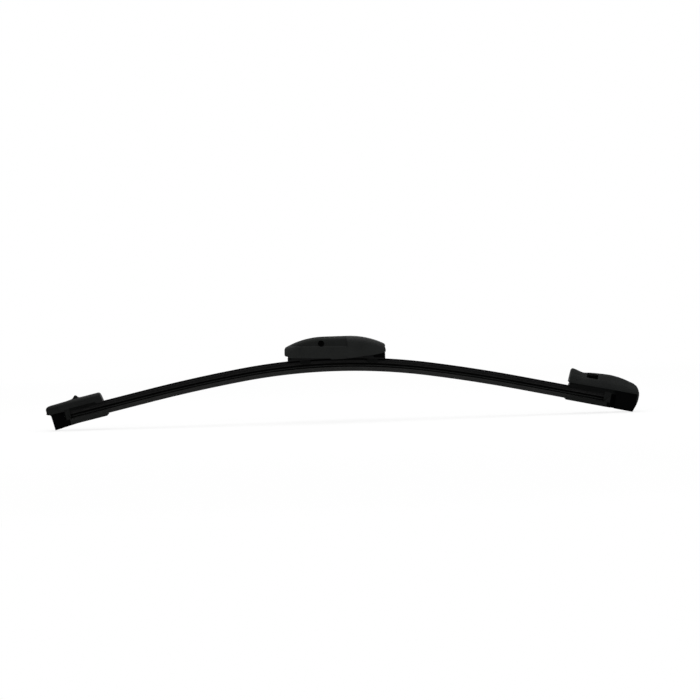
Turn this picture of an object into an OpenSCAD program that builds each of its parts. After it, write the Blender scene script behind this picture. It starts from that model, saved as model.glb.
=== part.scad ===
// Flat (beam) wiper blade for a car windscreen, lying free and slightly bowed.
// X runs along the blade, Y across it and Z away from the glass.
// The origin is the middle of the bore that takes a side-pin wiper arm.

/* [Bow of the blade] */
// Half of the wiping rubber, measured along its curve
rubber_half = 206; // [186:1:240]
// Bend radius of the middle stretch
mid_bend_r = 450; // [400:10:560]
// Half of the middle stretch, along the curve
mid_bend_run = 70; // [50:1:76]
// Bend radius of the two outer stretches
outer_bend_r = 1135; // [900:5:1500]
// Distance along the curve at which the straight ends start
straight_from = 140; // [110:1:148]

/* [Wiping rubber] */
// Thickness of the cap over the rails
cap_t = 1.0; // [0.8:0.05:1.3]
// Half width of the cap over the rails
cap_half = 2.6; // [2.2:0.1:3.2]
// Half width of the web between the two rails
web_half = 1.0; // [0.7:0.05:1.3]
// Height of the bead under the rails
bead_t = 1.65; // [1.5:0.05:2]
// Half width of the bead at its widest
bead_half = 4.8; // [4.5:0.05:4.9]
// Half width of the bead where the claws pass it
bead_neck_half = 3.9; // [3.5:0.05:4]
// Height of the upper side groove
groove_h = 1.05; // [0.8:0.05:1.4]
// Half width of the rubber in the upper side groove
groove_half = 1.7; // [1.2:0.1:2.2]
// Thickness of the wings that stop the lip when it tilts
wing_t = 0.9; // [0.7:0.05:1.2]
// Half width of the wings
wing_half = 4.0; // [3.4:0.1:4.4]
// Height of the thin hinge neck above the lip
neck_h = 0.75; // [0.6:0.05:1.1]
// Half thickness of the hinge neck
neck_half = 0.55; // [0.4:0.05:0.8]
// Height of the lip with its heel
lip_h = 3.5; // [3:0.1:4.2]
// Half width of the heel above the lip
heel_half = 2.6; // [2:0.1:3.2]
// Half thickness of the lip at its wiping edge
edge_half = 0.35; // [0.25:0.05:0.5]

/* [Spring rails] */
// Thickness of each steel rail
rail_t = 0.9; // [0.7:0.05:1.1]
// Distance from the middle plane to the rails' outer edges
rail_half = 5.2; // [5.05:0.05:5.4]
// Depth of the notch that the end clip's tooth drops into
rail_notch = 0.7; // [0.4:0.1:0.8]
// Length of that notch
rail_notch_len = 4; // [2:0.5:6]
// Distance by which the rails stop short of the rubber's end
rail_short = 1.5; // [0.5:0.5:3]

/* [Base on the rails] */
// Reach of the base behind the rivet
base_back = 35.2; // [30:0.2:35.2]
// Reach of the base in front of the rivet
base_front = 38; // [30:0.5:38]
// Thickness of the base's deck
deck_t = 1.4; // [1:0.1:1.8]
// Half width of the deck
deck_half = 7.4; // [7.2:0.1:7.6]
// Thickness of the claws round the rails
claw_t = 0.9; // [0.7:0.05:1.1]
// Length of each claw along the rail
claw_len = 8; // [5:0.5:10]
// Height of the base's front wall above the rubber
front_wall_h = 3.1; // [2.6:0.1:3.2]
// Height of the base's rear wall above the rubber's top at the middle
rear_wall_h = 1.3; // [1:0.1:1.4]
// Half width of the base at its front end
base_end_half = 6.5; // [6.2:0.1:6.8]
// Thickness of the base's curbs and of its end walls
curb_t = 1.2; // [1:0.1:1.4]

/* [Rivet] */
// Radius of the pivot rivet
rivet_r = 2.0; // [1.6:0.1:2.4]
// Height of the rivet's axis above the rubber
rivet_up = 8.1; // [7.8:0.1:8.6]
// Radius of the rivet's formed heads
rivet_head_r = 3.0; // [2.8:0.1:3.2]
// Thickness of the rivet's formed heads
rivet_head_t = 0.5; // [0.3:0.05:0.5]

/* [Arm adapter] */
// Width of the bay for the arm's hook
bay_w = 9.4; // [9.2:0.1:9.6]
// Thickness of the adapter's side plates
plate_t = 1.0; // [0.8:0.1:1.1]
// Radius of the barrel that the hook goes round
barrel_r = 3.9; // [3.6:0.1:4]
// Thickness of the tongue that carries the barrel
tongue_t = 2.6; // [2:0.1:3]
// Radius of the bore for a side-pin arm
pin_bore_r = 2.42; // [2:0.01:2.5]
// Distance of the pin bore behind the rivet
pin_back = 9.8; // [8:0.1:12]
// Height of the pin bore above the rivet's axis
pin_up = 3.4; // [3.3:0.05:3.6]
// Radius of the pegs that hold the hood
peg_r = 1.5; // [1:0.1:1.8]

/* [Hood] */
// Reach of the hood behind the rivet
hood_back = 37.4; // [36:0.2:40]
// Reach of the hood in front of the rivet
hood_front = 38.2; // [37.8:0.1:41]
// Height of the hood's crest above the rubber
hood_h = 16.2; // [16:0.1:17.5]
// Half width of the hood's skirts
hood_half = 9.5; // [9.4:0.1:10.5]
// Wall of the hood
hood_wall = 1.3; // [1:0.1:1.3]
// Depth of the step in the hood's upper flanks
step_d = 0.8; // [0.4:0.1:0.9]
// Radius of the hood's long upper edges
hood_edge_r = 5; // [4:0.25:5]
// Radius of the long curve towards the nose
nose_curve_r = 59.6; // [57:0.2:75]
// Radius of the long curve towards the front
front_curve_r = 55; // [53:0.5:70]

/* [End clips] */
// Half width of an end clip's upper shell
clip_half = 6.2; // [6.1:0.05:6.4]
// Height of the clip's shell above the rubber
clip_h = 6.9; // [6.5:0.1:7.2]
// Half width across the flared skirts at their lower edge
skirt_half = 7.2; // [7:0.1:7.5]
// Length of the clip's side window, from its mouth
rib_run = 26.8; // [22:0.2:27]
// Height of the snap nub above the clip's shell
nub_h = 2.3; // [1.5:0.1:2.6]
// Reach of the clips' jaws below the rubber's lip
jaw_reach = 0.7; // [0.1:0.1:0.8]
// Extra drop of the left clip's tail below its jaws
left_tail_drop = 2.0; // [0:0.1:2.1]

/* [End cover] */
// Depth of the recess in the cover's nose, under its flanks
nose_recess = 1.2; // [0.8:0.1:1.3]
// Wall of the end cover
cover_wall = 1.25; // [1:0.05:1.4]
// Height of the end cover's fin above the rubber
fin_h = 12.9; // [12.5:0.1:14]
// Length of the slot over the snap nub
slot_len = 8.4; // [7:0.1:9]

/* [Fits] */
// Gap on each face between a rail and its groove
rail_fit = 0.03; // [0.02:0.01:0.06]
// Gap between a rail and the claws round it
claw_fit = 0.06; // [0.04:0.01:0.1]
// Radial clearance of the adapter on the rivet
pivot_fit = 0.06; // [0.02:0.01:0.09]
// Radial clearance of the rivet in the base's ears
ear_fit = 0.02; // [0.01:0.01:0.04]
// Side gap between parts that rock past each other
rock_gap = 0.15; // [0.1:0.01:0.2]
// Gap between the end clip and the end cover
cover_fit = 0.15; // [0.1:0.01:0.2]

/* [Hidden] */
// Smoothness of round bores and pins
round_fn = 48;
// Spare length by which a cutter passes the face that it opens
over = 1;

// Levels of the rubber's section, from its middle height
slot_h = rail_t + 2 * rail_fit;
beam_h = cap_t + slot_h + bead_t + groove_h + wing_t + neck_h + lip_h;
z_top = beam_h / 2;
z_slot_top = z_top - cap_t;
z_slot_low = z_slot_top - slot_h;
z_bead_low = z_slot_low - bead_t;
z_wing_top = z_bead_low - groove_h;
z_wing_low = z_wing_top - wing_t;
z_heel_top = z_wing_low - neck_h;
z_edge = -beam_h / 2;

// Slopes of the bowed blade where its stretches meet, in degrees, and the centres of its bends
mid_slope = mid_bend_run / mid_bend_r * 180 / PI;
end_slope = mid_slope + (straight_from - mid_bend_run) / outer_bend_r * 180 / PI;
outer_mid = (mid_bend_r - outer_bend_r) * [sin(mid_slope), cos(mid_slope)] - [0, mid_bend_r];
outer_end = outer_mid + outer_bend_r * [sin(end_slope), cos(end_slope)];
// Number of straight facets that stand for each bend
mid_facets = 20;
outer_facets = 4;

// Room between the rivet's heads and the hood
head_room = 0.25;
// Gap between the rubber's cap and the base's deck
deck_gap = 0.05;

// Layers across the middle, from the hook bay outwards
bay_half = bay_w / 2;
plate_out = bay_half + plate_t;
ear_in = plate_out + rock_gap;
ear_out = ear_in + plate_t;
head_out = ear_out + rivet_head_t;
step_half = hood_half - step_d;
step_in = head_out + head_room;
skirt_in = hood_half - hood_wall;
rivet_z = z_top + rivet_up;
pin_z = rivet_z + pin_up;

black_plastic = [0.06, 0.06, 0.065];
charcoal = [0.11, 0.115, 0.115];
black_steel = [0.04, 0.04, 0.045];
bright_steel = [0.55, 0.56, 0.58];
rubber_grey = [0.14, 0.15, 0.15];

// Points along an arc, from angle a to angle b
function arc(x, z, r, a, b, n) = [for (i = [0:n]) [x + r * cos(a + (b - a) * i / n),
                                                   z + r * sin(a + (b - a) * i / n)]];
// A half outline in +Y, completed by its mirror image
function both_sides(half) = concat(half, [for (i = [len(half) - 1:-1:0]) [-half[i][0], half[i][1]]]);

// An X-Y half outline in +Y, from behind to the front, completed on the other side
function both_flanks(half) = concat(half, [for (i = [len(half) - 1:-1:0]) [half[i][0], -half[i][1]]]);

// Puts the model's origin at the side-pin bore
module from_pin() {
    translate([pin_back, 0, -pin_z]) children();
}

// Sweeps a Y-Z section straight along X
module run_x(section, x_a, x_b) {
    translate([x_a, 0, 0])
        rotate([90, 0, 90])
            linear_extrude(x_b - x_a)
                polygon(section);
}

// Extrudes an X-Z outline across the blade, between two values of Y
module across(outline, y_a, y_b) {
    translate([0, y_b, 0])
        rotate([90, 0, 0])
            linear_extrude(y_b - y_a)
                polygon(outline);
}

// Extrudes an X-Y outline upwards, between two values of Z
module upright(outline, z_a, z_b) {
    translate([0, 0, z_a])
        linear_extrude(z_b - z_a)
            polygon(outline);
}

// Places a piece drawn along the curve's length on the right (1) or left (-1) straight end
module at_end(side) {
    mirror([side < 0 ? 1 : 0, 0, 0])
        translate([outer_end[0], 0, outer_end[1]])
            rotate([0, end_slope, 0])
                translate([-straight_from, 0, 0])
                    children();
}

// Slope of the blade and its middle line, at a distance s along the curve
function slope_of(s) = abs(s) <= mid_bend_run ? s / mid_bend_r * 180 / PI :
    sign(s) * (mid_slope + (min(abs(s), straight_from) - mid_bend_run) / outer_bend_r * 180 / PI);
function middle_of(s) =
    let (a = slope_of(abs(s)), past = max(abs(s) - straight_from, 0),
         right = abs(s) <= mid_bend_run ? [mid_bend_r * sin(a), mid_bend_r * (cos(a) - 1)] :
                 outer_mid + outer_bend_r * [sin(a), cos(a)] + past * [cos(a), -sin(a)])
    [s < 0 ? -right[0] : right[0], right[1]];

// Stations of the sweep on the right half, from the middle outwards
function right_stations(half_run) = concat(
    [for (i = [1:mid_facets / 2]) mid_bend_run * i / (mid_facets / 2)],
    [for (i = [1:outer_facets]) mid_bend_run + (straight_from - mid_bend_run) * i / outer_facets],
    [half_run]);

// Sweeps a Y-Z section along the whole bowed blade, to a distance from its middle.
// The section's first half runs down one side and its second half back up the other,
// so that each end face is a stack of strips.
module along_blade(section, half_run) {
    right = right_stations(half_run);
    stations = concat([for (i = [len(right) - 1:-1:0]) -right[i]], [0], right);
    n = len(section);
    last = (len(stations) - 1) * n;
    polyhedron(
        points = [for (s = stations) let (a = slope_of(s), m = middle_of(s))
                  for (p = section) [m[0] + p[1] * sin(a), p[0], m[1] + p[1] * cos(a)]],
        faces = concat(
            [for (i = [0:n / 2 - 2]) [n - 1 - i, n - 2 - i, i + 1, i]],
            [for (k = [0:len(stations) - 2]) for (i = [0:n - 1]) let (j = (i + 1) % n)
             [k * n + i, k * n + j, (k + 1) * n + j, (k + 1) * n + i]],
            [for (i = [0:n / 2 - 2]) [last + i, last + i + 1, last + n - 2 - i, last + n - 1 - i]]));
}

// Draft by which the rails' grooves open outwards
groove_draft = 0.02;

// The wiping rubber: cap, rail grooves, bead, wings, hinge neck, heel and lip in one extrusion
rubber_section = both_sides([
    [cap_half, z_top], [cap_half, z_slot_top + groove_draft],
    [web_half, z_slot_top], [web_half, z_slot_low],
    [bead_neck_half, z_slot_low - groove_draft], [bead_neck_half, z_slot_low - 0.5],
    [bead_half, z_slot_low - 1.3], [bead_half, z_bead_low + 0.1],
    [bead_half - 0.3, z_bead_low], [groove_half, z_bead_low - 0.1],
    [groove_half, z_wing_top], [wing_half - 0.2, z_wing_top - 0.25],
    [wing_half, z_wing_top - 0.5], [wing_half - 0.2, z_wing_low + 0.1],
    [neck_half, z_wing_low], [neck_half, z_heel_top],
    [heel_half - 0.2, z_heel_top - 0.05], [heel_half, z_heel_top - 0.25],
    [heel_half, z_heel_top - 0.5], [1.25, z_heel_top - 1.2],
    [0.7, z_heel_top - 1.9], [edge_half, z_edge]
]);

module wiper_rubber() {
    color(rubber_grey)
        from_pin() along_blade(rubber_section, rubber_half);
}

// One flat spring-steel rail, with a notch near each end for the end clip
module rail() {
    inner = web_half + rail_fit;
    top = z_slot_top - rail_fit;
    low = top - rail_t;
    difference() {
        along_blade([[inner, top], [rail_half, top], [rail_half, low], [inner, low]],
                    rubber_half - rail_short);
        for (side = [-1, 1])
            at_end(side)
                translate([notch_x - rail_notch_len / 2, rail_half - rail_notch, low - over])
                    cube([rail_notch_len, rail_notch + over, rail_t + 2 * over]);
    }
}

module rail_front() {
    color(black_steel) from_pin() mirror([0, 1, 0]) rail();
}

module rail_rear() {
    color(black_steel) from_pin() rail();
}

// The moulded base: deck, claws round the rails, ears for the rivet, curbs and front wall
claw_out = rail_half + claw_fit + claw_t;
claw_low = z_slot_low - 0.6;
base_low = z_top + deck_gap;
deck_top = base_low + deck_t;
claw_spots = [-base_back + 9.2 + claw_len / 2, base_front - 14 + claw_len / 2];

// Points along the middle bend, at a height above the blade's middle line
function along_bend(height, x_a, x_b) =
    arc(0, -mid_bend_r, mid_bend_r + height, acos(x_a / mid_bend_r), acos(x_b / mid_bend_r), 16);

// Places a piece at a distance s along the curve, in line with the blade there
module on_curve(s) {
    translate([middle_of(s)[0], 0, middle_of(s)[1]])
        rotate([0, slope_of(s), 0])
            children();
}

module base_claw(side) {
    in = rail_half + claw_fit;
    section = [[side * in, base_low + 0.2], [side * claw_out, base_low + 0.2],
               [side * claw_out, claw_low + 0.3], [side * (claw_out - 0.3), claw_low],
               [side * (bead_neck_half + 0.75), claw_low],
               [side * (bead_neck_half + 0.35), z_slot_low - claw_fit],
               [side * in, z_slot_low - claw_fit]];
    run_x(section, -claw_len / 2, claw_len / 2);
}

module base_ear(side) {
    y_a = side > 0 ? ear_in : -ear_out;
    difference() {
        union() {
            translate([0, y_a, rivet_z])
                rotate([-90, 0, 0])
                    cylinder(r = rivet_head_r + 0.7, h = plate_t, $fn = round_fn);
            across([[-7.5, deck_top - 0.6], [7.5, deck_top - 0.6],
                    [rivet_head_r + 0.4, rivet_z + 1], [-rivet_head_r - 0.4, rivet_z + 1]],
                   y_a, y_a + plate_t);
        }
        translate([0, y_a - over, rivet_z])
            rotate([-90, 0, 0])
                cylinder(r = rivet_r + ear_fit, h = plate_t + 2 * over, $fn = round_fn);
    }
}

// The base seen from above, narrowed towards both ends
base_plan = [[-base_back, base_end_half - 2.9], [-base_back + 1.2, base_end_half - 1.5],
             [-base_back + 3.2, base_end_half - 0.4], [-base_back + 7, deck_half - 0.4],
             [-base_back + 9.2, deck_half], [base_front - 9, deck_half], [base_front - 0.3, base_end_half]];

module base() {
    deck = concat(along_bend(deck_top, -base_back, base_front), along_bend(base_low, base_front, -base_back));
    wall_top = z_top + front_wall_h;
    curb_low = base_low - 0.9;
    rear_low = base_low - 1.2;
    rear_top = z_top + rear_wall_h;
    color(black_plastic) from_pin() {
        difference() {
            intersection() {
                union() {
                    across(deck, -deck_half, deck_half);
                    for (side = [-1, 1]) {
                        y_a = side > 0 ? ear_in : -deck_half;
                        y_b = side > 0 ? deck_half : -ear_in;
                        across([[9, deck_top - 0.5], [base_front - 0.3, curb_low], [base_front - 0.3, wall_top],
                                [base_front - 2, wall_top], [9, deck_top - 0.1]], y_a, y_b);
                        across([[-14, deck_top - 0.5], [-14, deck_top - 0.1], [-base_back, rear_top],
                                [-base_back, rear_low]], y_a, y_b);
                    }
                    across([[base_front - 0.3 - curb_t, curb_low], [base_front - 0.3, curb_low],
                            [base_front - 0.3, wall_top], [base_front - 0.3 - curb_t, wall_top]],
                           -deck_half, deck_half);
                    across([[-base_back, rear_low], [curb_t - base_back, rear_low],
                            [curb_t - base_back, rear_top], [-base_back, rear_top]], -deck_half, deck_half);
                }
                upright(both_flanks(base_plan), z_edge, rivet_z);
            }
            translate([-15, -bay_half - 0.2, 0]) cube([24.5, bay_w + 0.4, deck_top + over]);
        }
        for (side = [-1, 1]) {
            base_ear(side);
            for (s = claw_spots) on_curve(s) base_claw(side);
        }
    }
}

// The rivet on which the adapter and its hood rock
module pivot_rivet() {
    color(bright_steel) from_pin()
        translate([0, 0, rivet_z]) rotate([-90, 0, 0]) {
            translate([0, 0, -ear_out]) cylinder(r = rivet_r, h = 2 * ear_out, $fn = round_fn);
            for (z = [-head_out, ear_out])
                translate([0, 0, z]) cylinder(r = rivet_head_r, h = rivet_head_t, $fn = round_fn);
        }
}

// Height of the hood's crest line above the rubber, at x
flat_from = -8;
flat_to = 10;
function crest(x) =
    x < flat_from ? hood_h - nose_curve_r + sqrt(nose_curve_r * nose_curve_r - (x - flat_from) * (x - flat_from)) :
    x > flat_to ? hood_h - front_curve_r + sqrt(front_curve_r * front_curve_r - (x - flat_to) * (x - flat_to)) :
    hood_h;

// The crest line as points, lowered by drop, from x_a to x_b
function crest_line(x_a, x_b, drop) = [for (i = [0:24]) let (x = x_a + (x_b - x_a) * i / 24)
                                       [x, z_top + crest(x) - drop]];

// The arm adapter: two side plates, the hook's barrel on its tongue, and the hood's pegs
adapter_back = 30;
adapter_front = 26;
pegs = [[-24, 6.3], [20, 7.8]];

module arm_adapter() {
    plate_low = z_top + 2.9;
    plate = concat(crest_line(-adapter_back, adapter_front, hood_wall + 0.4),
                   [[adapter_front, z_top + 4.2], [8, plate_low], [-8, plate_low], [-adapter_back, z_top + 4.5]]);
    tongue_top = pin_z - pin_bore_r - 0.2;
    tongue_low = tongue_top - tongue_t;
    color(black_plastic) from_pin()
        difference() {
            union() {
                for (side = [-1, 1])
                    across(plate, side > 0 ? bay_half : -plate_out, side > 0 ? plate_out : -bay_half);
                across([[-adapter_back, z_top + 4.5], [-18, z_top + 4.5], [-16, tongue_low], [0, tongue_low],
                        [0, tongue_top], [-adapter_back, tongue_top - 0.6]], -plate_out, plate_out);
                across([[-12.5, tongue_low + 0.1], [-11, tongue_low - 1], [-9.5, tongue_low + 0.1]], -2, 2);
                across([[10, z_top + 4], [adapter_front, z_top + 4.2], [adapter_front, z_top + 6], [12, z_top + 6],
                        [12, z_top + 13], [10, z_top + 13]], -plate_out, plate_out);
                translate([0, -plate_out, rivet_z])
                    rotate([-90, 0, 0])
                        cylinder(r = barrel_r, h = 2 * plate_out, $fn = round_fn);
                for (peg = pegs)
                    translate([peg[0], -skirt_in - 0.5, z_top + peg[1]])
                        rotate([-90, 0, 0])
                            cylinder(r = peg_r, h = 2 * skirt_in + 1, $fn = round_fn);
            }
            translate([0, -hood_half, rivet_z])
                rotate([-90, 0, 0])
                    cylinder(r = rivet_r + pivot_fit, h = 2 * hood_half, $fn = round_fn);
            translate([-pin_back, -hood_half, pin_z])
                rotate([-90, 0, 0])
                    cylinder(r = pin_bore_r, h = 2 * hood_half, $fn = round_fn);
        }
}

// The hood over the adapter: long dome, stepped upper flanks, arm slot and pin bore
hood_outline = concat(
    [[-hood_back + 2.8, z_top + 1.5], [-hood_back + 2.4, z_top + 2.5], [-hood_back + 0.7, z_top + 2.8],
     [-hood_back + 0.2, z_top + 3.3], [-hood_back, z_top + 4.1]],
    [[-hood_back, z_top + crest(-hood_back) - 1.2]],
    crest_line(-hood_back + 0.8, hood_front - 1, 0),
    [[hood_front, z_top + crest(hood_front) - 1.4], [hood_front, z_top + 4.3],
     [hood_front - 0.5, z_top + 3.8], [hood_front - 1.5, z_top + 3.4], [hood_front - 4, z_top + 2.85],
     [29.9, z_top + 2.1], [23.7, z_top + 1.5], [17, z_top + 0.75], [11.2, z_top + 0.1],
     [6, z_top - 0.3], [-2.6, z_top - 0.4], [-3, z_top + 0.4]]);

function flank(half, low, edge_r, top) = both_sides(concat(
    [[half, low]],
    [for (i = [8:-1:0]) [half - edge_r + edge_r * sin(90 * i / 8), top - edge_r + edge_r * cos(90 * i / 8)]]));

hood_section = flank(hood_half, -over, hood_edge_r, z_top + hood_h);
step_section = flank(step_half, -over, hood_edge_r - step_d, z_top + hood_h);
hood_inside = flank(step_in, -over, 3, z_top + hood_h - hood_wall);
skirt_inside = flank(skirt_in, -2 * over, 1, z_top + 8.1);
hood_hollow = concat([[-hood_back + hood_wall, -over]],
                     crest_line(-hood_back + hood_wall, hood_front + over, hood_wall),
                     [[hood_front + over, -over]]);
ledge = [[-hood_back + 4, z_top + 9.7], [flat_to - 1.1, z_top + 8.5],
         [flat_to - 1.1, z_top + hood_h + over], [-hood_back + 4, z_top + hood_h + over]];

// The hood seen from above, set in by a distance from its outside
function hood_plan(inset) = both_flanks([
    [-hood_back + inset, hood_half - 4.7 - inset], [-hood_back + 0.3 + inset, hood_half - 3.6 - inset],
    [-hood_back + 1.2 + inset, hood_half - 2.4 - inset], [-hood_back + 2.7 + inset, hood_half - 1.4 - inset],
    [-hood_back + 5 + inset, hood_half - 0.7 - inset], [-hood_back + 8.4, hood_half - 0.2 - inset],
    [-hood_back + 12.4, hood_half - inset], [hood_front - 11, hood_half - inset],
    [hood_front - 7, hood_half - 0.15 - inset], [hood_front - 3.5, hood_half - 0.5 - inset],
    [hood_front - 1.2, hood_half - 0.9 - inset], [hood_front, hood_half - 1.4 - inset],
    [hood_front + inset, hood_half - 1.6 - inset]]);

module hood() {
    color(charcoal) from_pin()
        difference() {
            intersection() {
                across(hood_outline, -hood_half - over, hood_half + over);
                run_x(hood_section, -hood_back - over, hood_front + over);
                upright(hood_plan(0), -over, z_top + hood_h + over);
            }
            // The step round the upper flanks, behind the full dome
            difference() {
                across(ledge, -hood_half - over, hood_half + over);
                run_x(step_section, -hood_back, hood_front);
            }
            // The inside, open below and at the front
            for (section = [hood_inside, skirt_inside])
                intersection() {
                    across(hood_hollow, -hood_half, hood_half);
                    run_x(section, -hood_back, hood_front + over);
                    upright(hood_plan(hood_wall), -2 * over, z_top + hood_h);
                }
            // The slot through which the arm lies over the barrel
            translate([-31, -bay_half - 0.2, z_top + 9]) cube([31 + flat_to - 1.1, bay_w + 0.4, hood_h]);
            // The bore's mouth, on the near flank only
            translate([-pin_back, -hood_half - over, pin_z])
                rotate([-90, 0, 0])
                    cylinder(r = pin_bore_r, h = hood_half + over, $fn = round_fn);
            for (peg = pegs)
                translate([peg[0], -skirt_in - 0.6, z_top + peg[1]])
                    rotate([-90, 0, 0])
                        cylinder(r = peg_r + pivot_fit, h = 2 * skirt_in + 1.2, $fn = round_fn);
        }
}

// End clip, drawn with X measured along the curve from the blade's middle
mouth_x = rubber_half - 32;
pillar_x = mouth_x + rib_run;
tail_x = rubber_half + 8.5;
notch_x = mouth_x + 14;
nub_x = mouth_x + 21;
clip_top = z_top + clip_h;
// Height of the side window's two edges, and the fin's half width
shell_low = z_top - 0.5;
jaw_top = z_edge + 2.7;
nub_half = 1.3;

clip_section = both_sides([
    [skirt_half, z_edge - 3], [skirt_half, z_edge], [clip_half, jaw_top],
    [clip_half, clip_top - 2.6], [clip_half - 0.8, clip_top - 1], [clip_half - 2.8, clip_top],
    [nub_half, clip_top], [nub_half, clip_top + nub_h + over]]);

// A pair of blocks that cut both sides down to a half width
module trim_sides(half, x_a, x_b, z_a, z_b) {
    for (y = [half, -half - 5])
        translate([x_a, y, z_a]) cube([x_b - x_a, 5, z_b - z_a]);
}

module clip_outer(tail_drop) {
    low = z_edge - jaw_reach;
    outline = [
        [mouth_x + 0.2, low + 0.5], [mouth_x + 1.3, z_top], [mouth_x + 3, clip_top],
        [mouth_x + 14.5, clip_top - 0.1], [nub_x - 3.4, clip_top],
        [nub_x - 1.8, clip_top + 0.6], [nub_x - 0.4, clip_top + nub_h], [nub_x + 0.4, clip_top + nub_h],
        [nub_x + 2, clip_top + 0.6], [nub_x + 4.5, clip_top - 0.1], [nub_x + 8, clip_top - 0.5],
        [tail_x + 0.5, clip_top - 0.9], [tail_x + 3.2, clip_top - 1.4], [tail_x + 4.4, z_top + 0.6],
        [tail_x + 2.8, z_top - 0.2], [tail_x + 1.2, z_top - 0.7], [tail_x + 0.5, z_top - 2],
        [tail_x + 0.3, z_top - 6], [tail_x, low - tail_drop], [tail_x - 4, low - 0.8 * tail_drop],
        [tail_x - 10, low - 0.35 * tail_drop], [pillar_x - 4, low], [mouth_x + 0.6, low]];
    window = [
        [mouth_x - over, jaw_top], [pillar_x, jaw_top], [pillar_x, shell_low + 1.2],
        [mouth_x + 18, shell_low + 1.2], [mouth_x + 14, shell_low], [mouth_x - over, shell_low]];
    difference() {
        intersection() {
            across(outline, -skirt_half - over, skirt_half + over);
            run_x(clip_section, mouth_x - over, tail_x + 6);
            upright(both_flanks([[mouth_x - over, skirt_half], [tail_x + 2, skirt_half],
                                 [tail_x + 4.4, clip_half - 2.2]]), z_edge - 4, clip_top + nub_h + over);
        }
        // Slim pillar, slimmer tail and the narrow foot of the overhang
        trim_sides(clip_half - 0.6, pillar_x - over, rubber_half + over, jaw_top, shell_low + 1.2);
        trim_sides(3, rubber_half + 0.8, tail_x + 10, z_edge - 4, z_top - 0.4);
        trim_sides(clip_half - 1, rubber_half + 2.7, tail_x + 10, z_edge - 4, flank_low + nose_wall + cover_fit);
        // Side window between the shell and the jaws, open at the mouth
        across(window, rail_half + claw_fit, skirt_half + over);
        across(window, -skirt_half - over, -rail_half - claw_fit);
        across([[mouth_x - over, jaw_top], [pillar_x, jaw_top], [pillar_x, z_slot_top],
                [mouth_x - over, z_slot_top]], -rail_half - over, rail_half + over);
    }
}

// The channel in a clip that takes the rubber and both rails
module clip_channel() {
    grip = rail_half + claw_fit;
    run_x(both_sides([
        [bead_half + 0.7, z_edge - 4], [bead_half + 0.7, claw_low - 0.6], [bead_half + 0.15, claw_low - 0.3],
        [bead_neck_half + 0.45, claw_low + 0.25], [bead_neck_half + 0.45, z_slot_low - claw_fit],
        [grip, z_slot_low - claw_fit], [grip, z_slot_top + claw_fit],
        [cap_half + 0.1, z_slot_top + claw_fit], [cap_half + 0.1, z_top + 0.1]]),
        mouth_x - over, rubber_half + 0.1);
}

module end_clip(side, tail_drop) {
    at_end(side) {
        difference() {
            clip_outer(tail_drop);
            clip_channel();
            // Socket for the end cover's tongue, open at the tail
            translate([mouth_x + 6, -clip_half + 1.3, z_top + 1.3])
                cube([tail_x - mouth_x + 2, 2 * clip_half - 2.6, clip_h - 3.6]);
        }
        // Teeth that drop into the rails' notches
        for (y = [-1, 1])
            translate([notch_x - rail_notch_len / 2 + 0.3,
                       y > 0 ? rail_half - rail_notch + 0.1 : -rail_half - claw_fit - 0.1, z_slot_low - claw_fit - 0.1])
                cube([rail_notch_len - 0.6, rail_notch + claw_fit, slot_h + 2 * claw_fit + 0.2]);
    }
}

module end_clip_left() {
    color(black_plastic) from_pin() end_clip(-1, left_tail_drop);
}

module end_clip_right() {
    color(black_plastic) from_pin() end_clip(1, 0);
}

// End cover over the right clip: fin, saddle, slot over the nub, side windows and recessed nose
cover_in = clip_half + cover_fit;
cover_half = cover_in + cover_wall;
nose_half = cover_half - nose_recess;
nose_wall = cover_wall - 0.25;
cover_x = mouth_x + 0.3;
nose_x = rubber_half + 22.4;
fin_top = z_top + fin_h;
flank_low = z_top + 3;
cover_outline = [
    [cover_x + 0.4, flank_low - 0.4], [cover_x, fin_top - 1.8], [cover_x + 0.4, fin_top - 0.5],
    [cover_x + 1.2, fin_top], [cover_x + 4.3, fin_top - 0.5], [cover_x + 7.4, fin_top - 1.1],
    [cover_x + 10, fin_top - 1.5], [cover_x + 13.6, fin_top - 0.9], [cover_x + 17.9, fin_top - 0.4],
    [cover_x + 22.4, fin_top], [cover_x + 26.9, fin_top + 0.3], [cover_x + 30, fin_top + 0.4],
    [cover_x + 33.1, fin_top + 0.2], [nose_x - 17.9, fin_top - 0.1], [nose_x - 14.8, fin_top - 0.6],
    [nose_x - 11.6, fin_top - 1.3], [nose_x - 8.4, fin_top - 2.1], [nose_x - 5.2, fin_top - 3],
    [nose_x - 3.3, fin_top - 4], [nose_x - 1.4, fin_top - 6.3], [nose_x - 0.3, fin_top - 9.2],
    [nose_x, z_top + 1], [nose_x - 0.5, z_top - 3], [nose_x - 1.7, z_top - 6.9],
    [nose_x - 3, z_edge - jaw_reach], [rubber_half + 5.6, z_edge - jaw_reach], [rubber_half + 5, z_top + 1],
    [rubber_half + 4.2, z_top + 2.1], [rubber_half + 2.6, flank_low - 0.2], [rubber_half, flank_low]];
cover_hollow = [
    [cover_x + cover_wall, z_edge - 4], [cover_x + cover_wall, fin_top - 1.8 - cover_wall],
    [cover_x + 10, fin_top - 1.8 - cover_wall], [cover_x + 13.6, fin_top - 1.1 - cover_wall],
    [cover_x + 22.4, fin_top - 0.3 - cover_wall], [cover_x + 30, fin_top + 0.1 - cover_wall],
    [nose_x - 14.8, fin_top - 0.9 - cover_wall], [nose_x - 8.4, fin_top - 2.5 - cover_wall],
    [nose_x - 3.5 - cover_wall, fin_top - 4 - cover_wall],
    [nose_x - 1.6 - cover_wall, fin_top - 6.8 - cover_wall],
    [nose_x - 0.3 - cover_wall, fin_top - 9.2 - cover_wall], [nose_x - 0.1 - cover_wall, z_top],
    [nose_x - 0.5 - cover_wall, z_top - 3.6], [nose_x - 2.2 - cover_wall, z_edge - 4]];

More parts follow.
